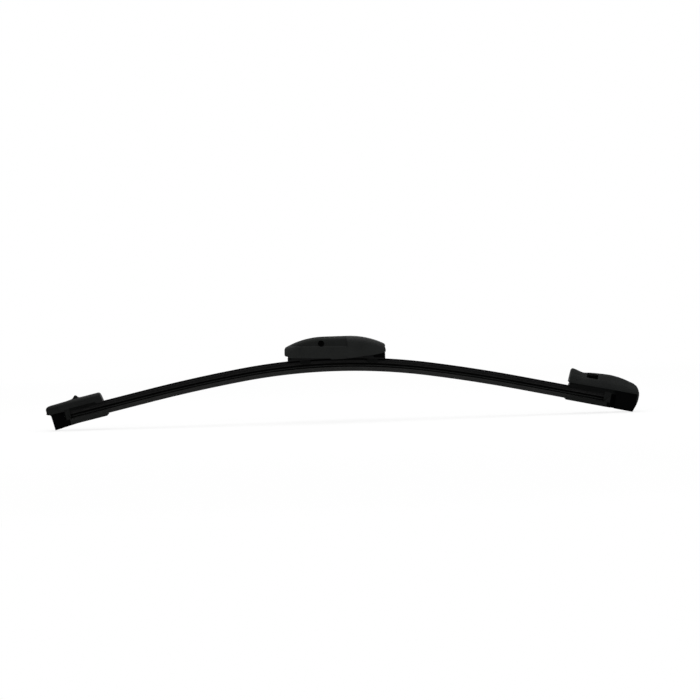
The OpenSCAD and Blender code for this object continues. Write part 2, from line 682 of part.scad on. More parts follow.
function cover_section(half, top) = both_sides([
    [half, z_edge - 5], [half, z_top + 3.9], [half - 0.3, z_top + 5], [half - 1.1, z_top + 7.3],
    [half - 2.6, z_top + 9.6], [half - 4.3, top - 1.2], [half - 5.4, top - 0.3], [half - 6.2, top]]);

// The cover seen from above: straight flanks and a rounded nose
function cover_plan(half, nose) = both_flanks(concat(
    [[cover_x - over, half]],
    [for (i = [0:6]) [nose - 5.2 + 5.2 * sin(15 * i), half - 4 + 4 * cos(15 * i)]]));

module end_cover() {
    color(charcoal) from_pin() at_end(1)
        difference() {
            intersection() {
                across(cover_outline, -cover_half - over, cover_half + over);
                run_x(cover_section(cover_half, fin_top + 0.4), cover_x - over, nose_x + over);
                upright(cover_plan(cover_half, nose_x), z_edge - 2, fin_top + over);
            }
            // The recess under the flanks, back from the nose
            trim_sides(nose_half, rubber_half + 3, nose_x - 1.6, z_edge - 2, flank_low);
            intersection() {
                across(cover_hollow, -cover_half, cover_half);
                run_x(cover_section(cover_in, fin_top - 0.9), cover_x, nose_x);
                union() {
                    upright(cover_plan(cover_in, nose_x - cover_wall), flank_low + nose_wall, fin_top);
                    upright(cover_plan(nose_half - nose_wall, nose_x - cover_wall), z_edge - 4, fin_top);
                    translate([cover_x, -cover_in, z_edge - 4])
                        cube([rubber_half + 3 - cover_x, 2 * cover_in, fin_top - z_edge]);
                }
            }
            // Slot over the snap nub, open on the near flank
            translate([nub_x - 0.92 * slot_len, -cover_half - over, z_top + 8.4])
                cube([slot_len, cover_half + over - nub_half, 3.5]);
        }
}

wiper_rubber();
rail_front();
rail_rear();
base();
pivot_rivet();
arm_adapter();
hood();
end_clip_left();
end_clip_right();
end_cover();
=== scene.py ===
# %% [markdown]
# # A flat wiper blade
# A flat blade has no metal bow on top. Two thin spring rails lie in the sides of a rubber strip and
# keep it curved, so that it presses evenly on the glass. A moulded base in the middle carries the
# arm adapter under a domed hood, and clips close both ends.

# %% Start from the measured solids
import bpy
import math
from mathutils import Matrix, Quaternion, Vector


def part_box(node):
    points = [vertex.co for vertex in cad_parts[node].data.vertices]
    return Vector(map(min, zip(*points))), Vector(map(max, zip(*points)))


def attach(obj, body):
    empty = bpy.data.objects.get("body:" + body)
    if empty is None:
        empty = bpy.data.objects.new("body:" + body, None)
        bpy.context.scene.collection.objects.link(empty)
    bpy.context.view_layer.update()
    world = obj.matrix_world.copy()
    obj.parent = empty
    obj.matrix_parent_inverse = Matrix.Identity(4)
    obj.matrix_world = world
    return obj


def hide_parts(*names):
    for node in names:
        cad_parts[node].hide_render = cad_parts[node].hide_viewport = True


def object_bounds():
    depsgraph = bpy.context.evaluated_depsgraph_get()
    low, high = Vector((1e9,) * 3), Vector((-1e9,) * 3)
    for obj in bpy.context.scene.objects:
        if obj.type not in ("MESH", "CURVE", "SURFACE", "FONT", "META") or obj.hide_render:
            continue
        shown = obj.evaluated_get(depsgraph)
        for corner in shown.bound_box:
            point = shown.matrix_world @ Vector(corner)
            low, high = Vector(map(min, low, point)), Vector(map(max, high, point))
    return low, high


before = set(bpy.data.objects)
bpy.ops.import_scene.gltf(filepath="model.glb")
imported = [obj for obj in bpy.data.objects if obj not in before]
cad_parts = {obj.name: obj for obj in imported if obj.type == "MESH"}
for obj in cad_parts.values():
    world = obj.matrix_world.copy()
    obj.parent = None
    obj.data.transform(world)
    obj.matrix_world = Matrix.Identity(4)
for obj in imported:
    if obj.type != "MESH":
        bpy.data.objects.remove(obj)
cad_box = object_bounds()
print("solids:", ", ".join(sorted(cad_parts)))

# %% [markdown]
# All the sizes below are in millimetres and measured from the middle of the rubber strip, where it
# is easiest to think about them. Heights are often given over the strip's cap, as CAP_Z + 3. The
# model itself is in metres and starts at the bore of the arm's pin, so one small function moves a
# point from the first frame to the second.

# %% Sizes and the two frames
MM = 0.001
PIN_X, PIN_Z = -9.8, 16.405
PIN_R = 2.42
CAP_Z = 4.905
RIVET_Z = CAP_Z + 8.1


def place(x, y, z):
    """A point given from the rubber's middle in millimetres, in the model's frame in metres."""
    return Vector(((x - PIN_X) * MM, y * MM, (z - PIN_Z) * MM))


rubber_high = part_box("wiper_rubber")[1]
print("rubber top at the middle, mm:", round((rubber_high.z - place(0, 0, 0).z) / MM, 3))

# %% [markdown]
# The strip bends on a 450 mm circle under the hood, then on a much wider circle of 1135 mm, and its
# last 66 mm are straight. The circles touch without a corner, so each next centre lies on the line
# through the last one and the point where they meet.

# %% The blade's curve
MID_R, OUTER_R = 450.0, 1135.0
MID_RUN, STRAIGHT_FROM, HALF_RUN = 70.0, 140.0, 206.0
MID_SLOPE = MID_RUN / MID_R
END_SLOPE = MID_SLOPE + (STRAIGHT_FROM - MID_RUN) / OUTER_R
MID_CENTRE = (0.0, -MID_R)
OUTER_CENTRE = ((MID_R - OUTER_R) * math.sin(MID_SLOPE),
                (MID_R - OUTER_R) * math.cos(MID_SLOPE) - MID_R)
BEND_END = (OUTER_CENTRE[0] + OUTER_R * math.sin(END_SLOPE),
            OUTER_CENTRE[1] + OUTER_R * math.cos(END_SLOPE))
print("slope of the straight ends, degrees:", round(math.degrees(END_SLOPE), 2))

# %% [markdown]
# The floor and the air around it are plain white, as on a studio table. A strength of 1 is already
# white for the camera, so nothing has to be lit harder for it. Near the blade a part of the floor's
# look is lit paint, which keeps the soft shadow, and further out it fades into the white room. The
# light that falls on the blade is dimmer and comes from the world and three wide, soft lamps.

# %% Two helpers
def deselect_all():
    """Leaves edit mode and clears the selection: an operator acts on all that is selected."""
    if bpy.context.object and bpy.context.object.mode != "OBJECT":
        bpy.ops.object.mode_set(mode="OBJECT")
    bpy.ops.object.select_all(action="DESELECT")


def seen_directly(nodes, links):
    """1 where the camera, a reflection or a clear piece looks, and 0 for the light it gives."""
    path = nodes.new("ShaderNodeLightPath")
    total = None
    for ray in ("Is Camera Ray", "Is Glossy Ray", "Is Transmission Ray"):
        if total is None:
            total = path.outputs[ray]
            continue
        both = nodes.new("ShaderNodeMath")
        both.operation = "MAXIMUM"
        links.new(total, both.inputs[0])
        links.new(path.outputs[ray], both.inputs[1])
        total = both.outputs[0]
    return total


# %% The white room
AMBIENT = 0.3
WHITE = (1, 1, 1, 1)
world = bpy.data.worlds.new("white_room")
bpy.context.scene.world = world
world.use_nodes = True
wn, wl = world.node_tree.nodes, world.node_tree.links
wn.clear()
ambient = wn.new("ShaderNodeBackground")
ambient.inputs["Color"].default_value = WHITE
ambient.inputs["Strength"].default_value = AMBIENT
white = wn.new("ShaderNodeBackground")
white.inputs["Color"].default_value = WHITE
white.inputs["Strength"].default_value = 1.0
world_mix = wn.new("ShaderNodeMixShader")
wl.new(seen_directly(wn, wl), world_mix.inputs["Fac"])
wl.new(ambient.outputs[0], world_mix.inputs[1])
wl.new(white.outputs[0], world_mix.inputs[2])
wl.new(world_mix.outputs[0], wn.new("ShaderNodeOutputWorld").inputs["Surface"])
print("light from all around:", AMBIENT, "and white to the eye")

# %% The floor
FLOOR_SIZE, FLOOR_GAP = 8.0, 0.0002
FADE_FROM, FADE_TO, NEAR_GLOW = 0.3, 0.7, 0.82
FLOOR_GREY = 0.9
deselect_all()
floor_z = cad_box[0].z - FLOOR_GAP
bpy.ops.mesh.primitive_plane_add(size=FLOOR_SIZE, location=(0, 0, floor_z))
floor = bpy.context.object
floor.name = "studio_floor"
floor_paint = bpy.data.materials.new("floor_white")
floor_paint.use_nodes = True
fn, fl = floor_paint.node_tree.nodes, floor_paint.node_tree.links
fn.clear()
matt = fn.new("ShaderNodeBsdfDiffuse")
matt.inputs["Color"].default_value = (FLOOR_GREY, FLOOR_GREY, FLOOR_GREY, 1)
glow = fn.new("ShaderNodeEmission")
glow.inputs["Strength"].default_value = 1.0
floor_mix = fn.new("ShaderNodeMixShader")
floor_where = fn.new("ShaderNodeTexCoord")
reach = fn.new("ShaderNodeVectorMath")
reach.operation = "LENGTH"
fl.new(floor_where.outputs["Object"], reach.inputs[0])
fade = fn.new("ShaderNodeMapRange")
fade.inputs["From Min"].default_value = FADE_FROM
fade.inputs["From Max"].default_value = FADE_TO
fade.inputs["To Min"].default_value = NEAR_GLOW
fl.new(reach.outputs["Value"], fade.inputs["Value"])
share = fn.new("ShaderNodeMath")
share.operation = "MULTIPLY"
fl.new(seen_directly(fn, fl), share.inputs[0])
fl.new(fade.outputs[0], share.inputs[1])
fl.new(share.outputs[0], floor_mix.inputs["Fac"])
fl.new(matt.outputs[0], floor_mix.inputs[1])
fl.new(glow.outputs[0], floor_mix.inputs[2])
fl.new(floor_mix.outputs[0], fn.new("ShaderNodeOutputMaterial").inputs["Surface"])
floor.data.materials.append(floor_paint)
print("floor under the blade's lowest point, mm:", FLOOR_GAP / MM)


# %% The lamps
def soft_lamp(name, spot, size, watts):
    """A wide area lamp that looks at the blade's middle."""
    deselect_all()
    bpy.ops.object.light_add(type="AREA", location=spot)
    lamp = bpy.context.object
    lamp.name = name
    lamp.data.shape = "RECTANGLE"
    lamp.data.size, lamp.data.size_y = size
    lamp.data.energy = watts
    lamp.rotation_mode = "QUATERNION"
    lamp.rotation_quaternion = (-Vector(spot)).to_track_quat("-Z", "Y")
    return lamp


soft_lamp("overhead_softbox", (0.0, 0.1, 1.1), (1.6, 0.9), 14)
soft_lamp("left_fill", (-1.1, -0.9, 0.5), (0.8, 0.8), 4)
soft_lamp("right_fill", (1.1, -0.9, 0.6), (0.8, 0.8), 4)

# %% [markdown]
# The photograph looks along the pin of the arm, from about three degrees above, and the blade lies
# in it with its right end a little higher. The camera is turned the other way by that angle, and
# the blade stays level. Its lens makes one of the photograph's pixels 0.7475 mm at the blade.

# %% Camera
CAMERA_RISE = math.radians(3.0)
CAMERA_ROLL = math.radians(1.909)
CAMERA_DISTANCE = 2500.0
PIXELS, MM_PER_PIXEL, SENSOR = 700, 0.7475, 36.0
PICTURE_MIDDLE = (11.57, 0, 10.60)
target = place(*PICTURE_MIDDLE)
camera_data = bpy.data.cameras.new("studio_camera")
camera = bpy.data.objects.new("studio_camera", camera_data)
bpy.context.scene.collection.objects.link(camera)
bpy.context.scene.camera = camera
camera_data.sensor_width = SENSOR
camera_data.lens = SENSOR * CAMERA_DISTANCE / (PIXELS * MM_PER_PIXEL)
camera_data.clip_start, camera_data.clip_end = 0.01, 100.0
back = Vector((0, -math.cos(CAMERA_RISE), math.sin(CAMERA_RISE)))
camera.location = target + back * CAMERA_DISTANCE * MM
camera.rotation_mode = "QUATERNION"
camera.rotation_quaternion = ((-back).to_track_quat("-Z", "Y")
                              @ Quaternion((0, 0, 1), -CAMERA_ROLL))
print("lens, mm:", round(camera_data.lens, 2))

# %% [markdown]
# Nearly everything on the blade is moulded plastic or rubber in near-blacks. What tells them apart
# is their surface: the hood has a fine even grain, the clips are smoother, and the rubber is dusty
# and matt. One function makes such a finish from a colour, a grain size and a gloss. Its patterns
# read Object coordinates, so they stay where they are when the blade rocks.

# %% Moulded finishes
DUST = (0.16, 0.155, 0.145, 1)


def moulded(name, colour, *, gloss, grain, depth, specular, dust=0.0):
    """A moulded finish: even grain of a size and depth in mm, slow changes in tone, and dust."""
    paint = bpy.data.materials.new(name)
    paint.use_nodes = True
    nodes, links = paint.node_tree.nodes, paint.node_tree.links
    nodes.clear()
    out = nodes.new("ShaderNodeOutputMaterial")
    skin = nodes.new("ShaderNodeBsdfPrincipled")
    links.new(skin.outputs[0], out.inputs["Surface"])
    skin.inputs["Specular IOR Level"].default_value = specular
    where = nodes.new("ShaderNodeTexCoord")

    def noise(size_mm, detail):
        """Noise whose blots are about size_mm wide."""
        blots = nodes.new("ShaderNodeTexNoise")
        blots.inputs["Scale"].default_value = 1.0 / (size_mm * MM)
        blots.inputs["Detail"].default_value = detail
        links.new(where.outputs["Object"], blots.inputs["Vector"])
        return blots.outputs["Fac"]

    def spread(value, low, high):
        """Stretches a value from 0.3..0.7 to low..high."""
        wider = nodes.new("ShaderNodeMapRange")
        wider.inputs["From Min"].default_value = 0.3
        wider.inputs["From Max"].default_value = 0.7
        wider.inputs["To Min"].default_value = low
        wider.inputs["To Max"].default_value = high
        links.new(value, wider.inputs["Value"])
        return wider.outputs[0]

    tone = nodes.new("ShaderNodeMix")
    tone.data_type = "RGBA"
    tone.inputs["A"].default_value = (*[c * 0.86 for c in colour], 1)
    tone.inputs["B"].default_value = (*[c * 1.14 for c in colour], 1)
    links.new(spread(noise(9.0, 3.0), 0.0, 1.0), tone.inputs["Factor"])
    surface_colour = tone.outputs["Result"]
    if dust > 0:
        # Dust lies on what faces up and gathers in blots.
        facing = nodes.new("ShaderNodeNewGeometry")
        split = nodes.new("ShaderNodeSeparateXYZ")
        links.new(facing.outputs["Normal"], split.inputs[0])
        upturned = nodes.new("ShaderNodeMapRange")
        upturned.inputs["From Min"].default_value = -0.2
        upturned.inputs["From Max"].default_value = 1.0
        upturned.inputs["To Max"].default_value = dust
        links.new(split.outputs["Z"], upturned.inputs["Value"])
        amount = nodes.new("ShaderNodeMath")
        amount.operation = "MULTIPLY"
        links.new(upturned.outputs[0], amount.inputs[0])
        links.new(spread(noise(2.5, 6.0), 0.2, 1.0), amount.inputs[1])
        dusty = nodes.new("ShaderNodeMix")
        dusty.data_type = "RGBA"
        dusty.inputs["B"].default_value = DUST
        links.new(amount.outputs[0], dusty.inputs["Factor"])
        links.new(surface_colour, dusty.inputs["A"])
        surface_colour = dusty.outputs["Result"]
    links.new(surface_colour, skin.inputs["Base Color"])
    links.new(spread(noise(1.6, 4.0), gloss - 0.06, gloss + 0.06), skin.inputs["Roughness"])
    bump = nodes.new("ShaderNodeBump")
    bump.inputs["Strength"].default_value = 1.0
    bump.inputs["Distance"].default_value = depth * MM
    links.new(noise(grain, 2.0), bump.inputs["Height"])
    links.new(bump.outputs[0], skin.inputs["Normal"])
    return paint


# %% Plastics and rubber
GRAINED = {"gloss": 0.6, "grain": 0.35, "depth": 0.02}
SMOOTH = {"gloss": 0.55, "grain": 0.6, "depth": 0.008}
RUBBERY = {"gloss": 0.7, "grain": 0.25, "depth": 0.012}
hood_finish = moulded("hood_grain", (0.0099, 0.0107, 0.0102), **GRAINED, specular=0.07, dust=0.005)
# Painted shade: a darker copy of the hood's plastic for the set-in step round its upper flanks.
step_painted_shade = moulded("hood_step_painted_shade", (0.0076, 0.0083, 0.0079), **GRAINED, specular=0.05)
# Painted highlight: a paler copy of the hood's plastic along the step's lower edge.
ledge_painted_highlight = moulded("hood_ledge_painted_highlight", (0.0145, 0.0154, 0.0149),
                       gloss=0.5, grain=0.35, depth=0.01, specular=0.08)
cover_finish = moulded("cover_grain", (0.0074, 0.0081, 0.0078),
                       **GRAINED, specular=0.06, dust=0.004)
clip_finish = moulded("clip_smooth", (0.0068, 0.0072, 0.007), **SMOOTH, specular=0.05, dust=0.004)
# Painted shade on the clips: two darker copies of the clip's plastic, the second darker still.
dim_painted_shade = moulded("clip_dim_painted_shade", (0.0045, 0.0048, 0.0046), **SMOOTH, specular=0.05)
shade_finish = moulded("clip_shaded", (0.0022, 0.0024, 0.0023), **SMOOTH, specular=0.03)
base_finish = moulded("base_smooth", (0.0048, 0.005, 0.005), **SMOOTH, specular=0.04)
adapter_finish = moulded("adapter_smooth", (0.005, 0.005, 0.0055),
                         gloss=0.5, grain=0.6, depth=0.008, specular=0.06, dust=0.02)
# Painted shade: near-black for recesses under the clips' shells, the cover's set-in nose and the
# base's inside.
black_painted_shade = moulded("painted_shade_black", (0.0012, 0.0012, 0.0013),
                     gloss=0.7, grain=0.6, depth=0.01, specular=0.01)
rubber_finish = moulded("rubber_matt", (0.0095, 0.01, 0.0098), **RUBBERY, specular=0.05, dust=0.03)
# Painted shade: a black copy of the rubber for its cap and the neck under the bead.
cap_painted_shade = moulded("rubber_cap_painted_shade", (0.003, 0.0031, 0.0031), **RUBBERY, specular=0.02, dust=0.01)
# The lip's coat is paler rubber, and the bead also takes it as a painted highlight.
lip_coat_and_bead_highlight = moulded("rubber_coated_lip_and_painted_highlight", (0.0155, 0.0155, 0.0153),
                     gloss=0.65, grain=0.25, depth=0.012, specular=0.05)
print("palest moulded finish:", lip_coat_and_bead_highlight.name, "darkest:", black_painted_shade.name)

# %% Steel finishes
rail_finish = moulded("rail_black_coat", (0.0038, 0.0038, 0.004),
                      gloss=0.45, grain=0.15, depth=0.004, specular=0.04)
rivet_finish = bpy.data.materials.new("rivet_plated")
rivet_finish.use_nodes = True
rn, rl = rivet_finish.node_tree.nodes, rivet_finish.node_tree.links
plated = rn["Principled BSDF"]
plated.inputs["Metallic"].default_value = 1.0
rivet_where = rn.new("ShaderNodeTexCoord")
turned = rn.new("ShaderNodeTexNoise")
turned.inputs["Scale"].default_value = 900.0
turned.inputs["Detail"].default_value = 4.0
rl.new(rivet_where.outputs["Object"], turned.inputs["Vector"])
tarnish = rn.new("ShaderNodeValToRGB")
tarnish.color_ramp.elements[0].color = (0.28, 0.27, 0.25, 1)
tarnish.color_ramp.elements[1].color = (0.5, 0.5, 0.5, 1)
rl.new(turned.outputs["Fac"], tarnish.inputs["Fac"])
rl.new(tarnish.outputs["Color"], plated.inputs["Base Color"])
rivet_rough = rn.new("ShaderNodeMapRange")
rivet_rough.inputs["To Min"].default_value = 0.25
rivet_rough.inputs["To Max"].default_value = 0.5
rl.new(turned.outputs["Fac"], rivet_rough.inputs["Value"])
rl.new(rivet_rough.outputs[0], plated.inputs["Roughness"])
print("steel finishes:", rail_finish.name, rivet_finish.name)

# %% [markdown]
# The solids underneath keep their shape and get the same finishes. Their meshes already say where
# each part is, so the material goes into their slots and nothing is moved.

# %% Finishes of the solids
FINISHES = {
    "wiper_rubber": rubber_finish, "rail_front": rail_finish, "rail_rear": rail_finish,
    "base": base_finish, "pivot_rivet": rivet_finish, "arm_adapter": adapter_finish,
    "hood": hood_finish, "end_clip_left": clip_finish, "end_clip_right": clip_finish,
    "end_cover": cover_finish,
}
for solid, finish in FINISHES.items():
    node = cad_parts[solid]
    node.data.materials.clear()
    node.data.materials.append(finish)
print("finished solids:", len(FINISHES))

# %% [markdown]
# Every moulded piece here starts as a drawing, as it does for the toolmaker: an outline becomes a
# face, and the face becomes a solid. The helpers below are those few strokes. A face is a filled
# circle whose corners are dragged onto the outline, because that is the one primitive that already
# is a closed ring of any number of corners. Then it is extruded straight.

# %% From an outline to a solid
def make_active(piece):
    """Selects one piece alone."""
    deselect_all()
    piece.select_set(True)
    bpy.context.view_layer.objects.active = piece


def drawn_face(name, spots):
    """A flat face through spots given in millimetres."""
    deselect_all()
    bpy.ops.mesh.primitive_circle_add(vertices=len(spots), radius=MM, fill_type="NGON")
    piece = bpy.context.object
    piece.name = name
    for vertex, spot in zip(piece.data.vertices, spots):
        vertex.co = Vector(spot) * MM
    bpy.ops.object.mode_set(mode="EDIT")
    bpy.ops.mesh.select_all(action="SELECT")
    return piece


def outward(piece):
    """Joins what touches, turns all faces outwards and leaves edit mode."""
    bpy.ops.mesh.select_all(action="SELECT")
    bpy.ops.mesh.remove_doubles(threshold=0.001 * MM)
    bpy.ops.mesh.normals_make_consistent(inside=False)
    bpy.ops.object.mode_set(mode="OBJECT")
    return piece


def prism(name, spots, along):
    """A face through spots, extruded straight along a vector."""
    piece = drawn_face(name, spots)
    bpy.ops.mesh.extrude_region_move(TRANSFORM_OT_translate={"value": Vector(along) * MM})
    return outward(piece)


def slab(name, outline, y_a, y_b):
    """An X-Z outline with its thickness across the blade."""
    return prism(name, [(x, y_a, z) for x, z in outline], (0, y_b - y_a, 0))


def upright(name, plan, z_a, z_b):
    """An X-Y plan, extruded upwards."""
    return prism(name, [(x, y, z_a) for x, y in plan], (0, 0, z_b - z_a))


def straight_run(name, section, x_a, x_b):
    """A Y-Z section, extruded along the blade."""
    return prism(name, [(x_a, y, z) for y, z in section], (x_b - x_a, 0, 0))


def block(name, low, high):
    """A box between two corners."""
    deselect_all()
    bpy.ops.mesh.primitive_cube_add(size=1, location=(Vector(low) + Vector(high)) / 2 * MM,
                                    scale=(Vector(high) - Vector(low)) * MM)
    piece = bpy.context.object
    piece.name = name
    bpy.ops.object.transform_apply(location=True, rotation=True, scale=True)
    return piece


# %% [markdown]
# A loft is the same extrusion in many short steps, from station to station along the blade, while
# its width and height change. Cuts are booleans. Sharp edges get the small round that a mould
# leaves, though never wider than a piece's shortest edge has room for. The hood, the cover and the
# adapter have tiny edges, so their rounds stay hair-fine.

# %% Lofts, cuts and rounds
JOIN_GAP, SMOOTH_TO = 0.01, math.radians(35.0)


def loft(name, ring, stations):
    """A Y-Z ring taken along X: each station gives x, the ring's height, its width and its rise."""
    x, z, wide, rise = stations[0]
    piece = drawn_face(name, [(x, y * wide, z + height * rise) for y, height in ring])
    for next_x, next_z, next_wide, next_rise in stations[1:]:
        bpy.ops.mesh.extrude_region_move(
            TRANSFORM_OT_translate={"value": ((next_x - x) * MM, 0, (next_z - z) * MM)})
        bpy.ops.transform.resize(value=(1, next_wide / wide, next_rise / rise),
                                 center_override=(next_x * MM, 0, next_z * MM))
        x, z, wide, rise = next_x, next_z, next_wide, next_rise
    return outward(piece)


def carve(piece, tool, how="DIFFERENCE"):
    """Cuts a piece with a tool, or keeps what both share, and removes the tool."""
    make_active(piece)
    cut = piece.modifiers.new("cut", "BOOLEAN")
    cut.operation, cut.solver, cut.object = how, "EXACT", tool
    bpy.ops.object.modifier_apply(modifier=cut.name)
    bpy.data.objects.remove(tool)
    return piece


def round_edges(piece, width, steps=2, from_angle=32.0):
    """Rounds the edges that are sharper than an angle, and shades the piece smooth between them."""
    make_active(piece)
    bpy.ops.object.mode_set(mode="EDIT")
    bpy.ops.mesh.select_all(action="SELECT")
    bpy.ops.mesh.remove_doubles(threshold=JOIN_GAP * MM)
    bpy.ops.mesh.normals_make_consistent(inside=False)
    bpy.ops.object.mode_set(mode="OBJECT")
    rounding = piece.modifiers.new("rounding", "BEVEL")
    rounding.width, rounding.segments = width * MM, steps
    rounding.limit_method, rounding.angle_limit = "ANGLE", math.radians(from_angle)
    bpy.ops.object.modifier_apply(modifier=rounding.name)
    bpy.ops.object.shade_smooth_by_angle(angle=SMOOTH_TO)
    return piece


def both_sides(half):
    """A half outline in +Y, completed by its mirror image on the other side."""
    return half + [(-y, z) for y, z in reversed(half)]


def both_flanks(half):
    """A half plan in +Y, from behind to the front, completed on the other side."""
    return half + [(x, -y) for x, y in reversed(half)]


# %% [markdown]
# A piece is drawn where its numbers are simplest and then settled at its place in the model. Its
# object stays at the origin, so the place is in the mesh. At last each face gets its finish, which
# may depend on where the face is, most often on its height over the curve.

# %% From the drawing to the model
def settle(piece, matrix):
    """Moves a drawn piece to its place and leaves it at the origin, unturned and unscaled."""
    make_active(piece)
    piece.matrix_world = matrix
    bpy.ops.object.transform_apply(location=True, rotation=True, scale=True)
    bpy.ops.object.mode_set(mode="EDIT")
    bpy.ops.mesh.select_all(action="SELECT")
    bpy.ops.mesh.normals_make_consistent(inside=False)
    bpy.ops.object.mode_set(mode="OBJECT")


def above_curve(x, z):
    """Height of a spot over the strip's middle line, square to it; all in millimetres."""
    x = abs(x)
    if math.atan2(x, z - MID_CENTRE[1]) <= MID_SLOPE:
        return math.hypot(x, z - MID_CENTRE[1]) - MID_R
    if math.atan2(x - OUTER_CENTRE[0], z - OUTER_CENTRE[1]) <= END_SLOPE:
        return math.hypot(x - OUTER_CENTRE[0], z - OUTER_CENTRE[1]) - OUTER_R
    return (x - BEND_END[0]) * math.sin(END_SLOPE) + (z - BEND_END[1]) * math.cos(END_SLOPE)


def finish_piece(piece, node, body, slot, *finishes, choose=None):
    """Gives a piece its finishes, hides the solid it stands for and says what it moves with.

    Where there are several, choose says by number which one a face takes, from its middle.
    """
    piece.data.materials.clear()
    for finish in finishes:
        piece.data.materials.append(finish)
    for face in piece.data.polygons:
        middle = (face.center - place(0, 0, 0)) / MM
        face.material_index = choose(middle, above_curve(middle.x, middle.z)) if choose else 0
    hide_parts(node)
    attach(piece, body)
    print(piece.name, len(piece.data.polygons), "faces")


TO_MIDDLE = Matrix.Translation(place(0, 0, 0))


def to_end(side):
    """Takes a piece drawn along the curve's length to the right (1) or left (-1) straight end."""
    return (TO_MIDDLE @ Matrix.Diagonal((side, 1, 1, 1))
            @ Matrix.Translation((BEND_END[0] * MM, 0, BEND_END[1] * MM))
            @ Matrix.Rotation(END_SLOPE, 4, "Y") @ Matrix.Translation((-STRAIGHT_FROM * MM, 0, 0)))


print("right end of the strip, mm from the pin:",
      [round(v / MM, 1) for v in to_end(1) @ Vector((HALF_RUN * MM, 0, 0))])

# %% [markdown]
# The wiping rubber is one long extrusion: cap, grooves for the rails, bead, wings, hinge neck, heel
# and a thin lip. It is drawn once at its left end, pulled straight, spun about the three centres of
# the blade's curve and pulled straight again, so its lines run without a break from end to end.

# %% The rubber's section
SLOT_TOP = CAP_Z - 1.0
SLOT_LOW = SLOT_TOP - 0.96
BEAD_LOW = SLOT_LOW - 1.65
WING_TOP = BEAD_LOW - 1.05
WING_LOW = WING_TOP - 0.9
HEEL_TOP = WING_LOW - 0.75
EDGE_Z = -CAP_Z
rubber_section = both_sides([
    (2.45, CAP_Z), (2.6, CAP_Z - 0.15), (2.6, SLOT_TOP + 0.12), (2.48, SLOT_TOP + 0.02),
    (1.0, SLOT_TOP), (1.0, SLOT_LOW), (3.8, SLOT_LOW - 0.02), (3.9, SLOT_LOW - 0.12),
    (3.9, SLOT_LOW - 0.5), (4.72, SLOT_LOW - 1.2), (4.8, SLOT_LOW - 1.33), (4.8, BEAD_LOW + 0.16),
    (4.7, BEAD_LOW + 0.04), (4.5, BEAD_LOW), (1.85, BEAD_LOW - 0.09), (1.7, BEAD_LOW - 0.24),
    (1.7, WING_TOP + 0.15), (1.85, WING_TOP - 0.02), (3.72, WING_TOP - 0.24),
    (3.95, WING_TOP - 0.38), (4.0, WING_TOP - 0.52), (3.92, WING_LOW + 0.16),
    (3.7, WING_LOW + 0.08), (0.7, WING_LOW), (0.55, WING_LOW - 0.14), (0.55, HEEL_TOP + 0.12),
    (0.7, HEEL_TOP), (2.35, HEEL_TOP - 0.05), (2.55, HEEL_TOP - 0.16), (2.6, HEEL_TOP - 0.32),
    (2.5, HEEL_TOP - 0.52), (1.25, HEEL_TOP - 1.2), (0.7, HEEL_TOP - 1.9), (0.35, EDGE_Z),
])
print("corners of the rubber's section:", len(rubber_section))

# %% The rubber along its curve
OUTER_STEPS, MIDDLE_STEPS = 10, 36
straight_run_mm = HALF_RUN - STRAIGHT_FROM
along = Vector((math.cos(END_SLOPE), 0, math.sin(END_SLOPE)))
upwards = Vector((-math.sin(END_SLOPE), 0, math.cos(END_SLOPE)))
left_end = Vector((-BEND_END[0], 0, BEND_END[1])) - along * straight_run_mm
rubber = drawn_face("blade_rubber", [left_end + upwards * z + Vector((0, y, 0))
                                     for y, z in rubber_section])
OUTER_ANGLE = END_SLOPE - MID_SLOPE
bpy.ops.mesh.extrude_region_move(
    TRANSFORM_OT_translate={"value": along * straight_run_mm * MM})
for centre_x, centre_z, angle, steps in (
        (-OUTER_CENTRE[0], OUTER_CENTRE[1], OUTER_ANGLE, OUTER_STEPS),
        (0.0, MID_CENTRE[1], 2 * MID_SLOPE, MIDDLE_STEPS),
        (OUTER_CENTRE[0], OUTER_CENTRE[1], OUTER_ANGLE, OUTER_STEPS)):
    bpy.ops.mesh.spin(steps=steps, angle=-angle, center=(centre_x * MM, 0, centre_z * MM),
                      axis=(0, 1, 0))
bpy.ops.mesh.extrude_region_move(TRANSFORM_OT_translate={
    "value": Vector((along.x, 0, -along.z)) * straight_run_mm * MM})
outward(rubber)
bpy.ops.object.shade_smooth_by_angle(angle=SMOOTH_TO)
settle(rubber, TO_MIDDLE)


def rubber_look(middle, height):
    """Painted shade in black on the cap and neck, a painted highlight on the bead, the paler coated
    heel and lip, and dusty wings between them.
    """
    if height > SLOT_TOP or WING_TOP < height < BEAD_LOW + 0.3:
        return 1
    # The bead, above BEAD_LOW + 0.3, takes the lip's finish as a painted highlight.
    return 2 if height > BEAD_LOW + 0.3 or height < HEEL_TOP - 0.02 else 0


finish_piece(rubber, "wiper_rubber", "blade", "rubber", rubber_finish, cap_painted_shade, lip_coat_and_bead_highlight,
             choose=rubber_look)

# %% [markdown]
# The hood is a thin shell. Seen from the side it rises in a long curve to a flat dome and falls in
# another, seen from above its ends are rounded, and its long upper edges are soft. A lofted form
# gives all three at once: a ring with rounded shoulders travels along the hood, rising and
# narrowing. The same loft, set in, makes the step round the upper flanks and the hollow inside.

